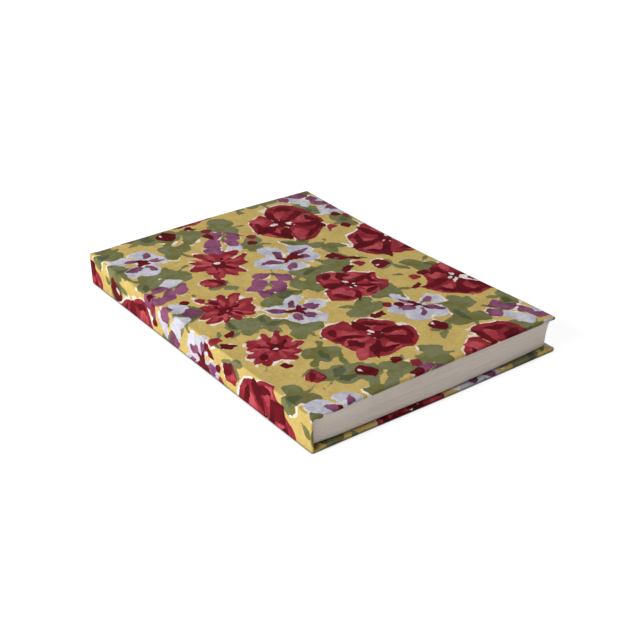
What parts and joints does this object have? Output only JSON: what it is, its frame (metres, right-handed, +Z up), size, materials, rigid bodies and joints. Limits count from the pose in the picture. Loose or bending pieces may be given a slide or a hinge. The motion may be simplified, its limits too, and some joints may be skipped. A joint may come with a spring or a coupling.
{
  "type": "hardcover notebook",
  "caption": "Hardcover notebook in a printed cloth case: two hinged covers and a flat spine round a sewn block of blank leaves, lying closed.",
  "frame": {"origin": "under the middle of the closed notebook, on the surface it lies on", "axes": "+X from the spine to the fore edge, +Y from the tail to the head, +Z up from the back cover to the front cover"},
  "size_m": [0.1524, 0.2136, 0.019],
  "materials": {
    "cover_cloth": "matt printed cotton, mustard ground with red, green and mauve flowers",
    "grey_board": "raw grey board",
    "book_paper": "uncoated cream paper",
    "endpaper": "uncoated cream paper",
    "gauze": "starched open cotton gauze",
    "kraft_lining": "brown kraft paper",
    "sewing_thread": "linen thread"
  },
  "bodies": {
    "text_block": {"section_01": "book_paper", "section_02": "book_paper", "section_03": "book_paper", "section_04": "book_paper", "section_05": "book_paper", "section_06": "book_paper", "section_07": "book_paper", "section_08": "book_paper", "section_09": "book_paper", "section_10": "book_paper", "back_flyleaf": "endpaper", "stitch_row_1": "sewing_thread", "stitch_row_2": "sewing_thread", "stitch_row_3": "sewing_thread", "stitch_row_4": "sewing_thread", "spine_mull": "gauze", "spine_lining": "kraft_lining", "spine_board": "grey_board", "spine_cloth": "cover_cloth", "front_joint_cloth": "cover_cloth", "back_joint_cloth": "cover_cloth"},
    "back_cover": {"back_cloth": "cover_cloth", "back_board": "grey_board", "back_pastedown": "endpaper", "back_mull_flange": "gauze"},
    "front_cover": {"front_cloth": "cover_cloth", "front_board": "grey_board", "front_pastedown": "endpaper", "front_mull_flange": "gauze"},
    "front_flyleaf": {"front_flyleaf": "endpaper"},
    "leaf_1": {"leaf_1": "book_paper"},
    "leaf_2": {"leaf_2": "book_paper"},
    "leaf_3": {"leaf_3": "book_paper"}
  },
  "joints": [
    {"name": "front_joint", "type": "hinge", "parent": "text_block", "child": "front_cover", "pos_m": [-0.07424, 0, 0.01634], "axis": [0, -1, 0], "range_deg": [0, 179.9], "deforming": ["front_joint_cloth"]},
    {"name": "back_joint", "type": "hinge", "parent": "text_block", "child": "back_cover", "pos_m": [-0.07424, 0, 0.00262], "axis": [0, 1, 0], "range_deg": [0, 179.9], "deforming": ["back_joint_cloth"]},
    {"name": "front_flyleaf_turn", "type": "hinge", "parent": "text_block", "child": "front_flyleaf", "pos_m": [-0.07424, 0, 0.01634], "axis": [0, -1, 0], "range_deg": [0, 174.6]},
    {"name": "leaf_1_turn", "type": "hinge", "parent": "text_block", "child": "leaf_1", "pos_m": [-0.07424, 0, 0.01634], "axis": [0, -1, 0], "range_deg": [0, 154.8]},
    {"name": "leaf_2_turn", "type": "hinge", "parent": "text_block", "child": "leaf_2", "pos_m": [-0.07424, 0, 0.01634], "axis": [0, -1, 0], "range_deg": [0, 100.8]},
    {"name": "leaf_3_turn", "type": "hinge", "parent": "text_block", "child": "leaf_3", "pos_m": [-0.07424, 0, 0.01634], "axis": [0, -1, 0], "range_deg": [0, 36]}
  ],
  "couplings": [
    {"joint": "front_flyleaf_turn", "follows": "front_joint", "ratio": 0.97},
    {"joint": "leaf_1_turn", "follows": "front_joint", "ratio": 0.86},
    {"joint": "leaf_2_turn", "follows": "front_joint", "ratio": 0.56},
    {"joint": "leaf_3_turn", "follows": "front_joint", "ratio": 0.2}
  ]
}
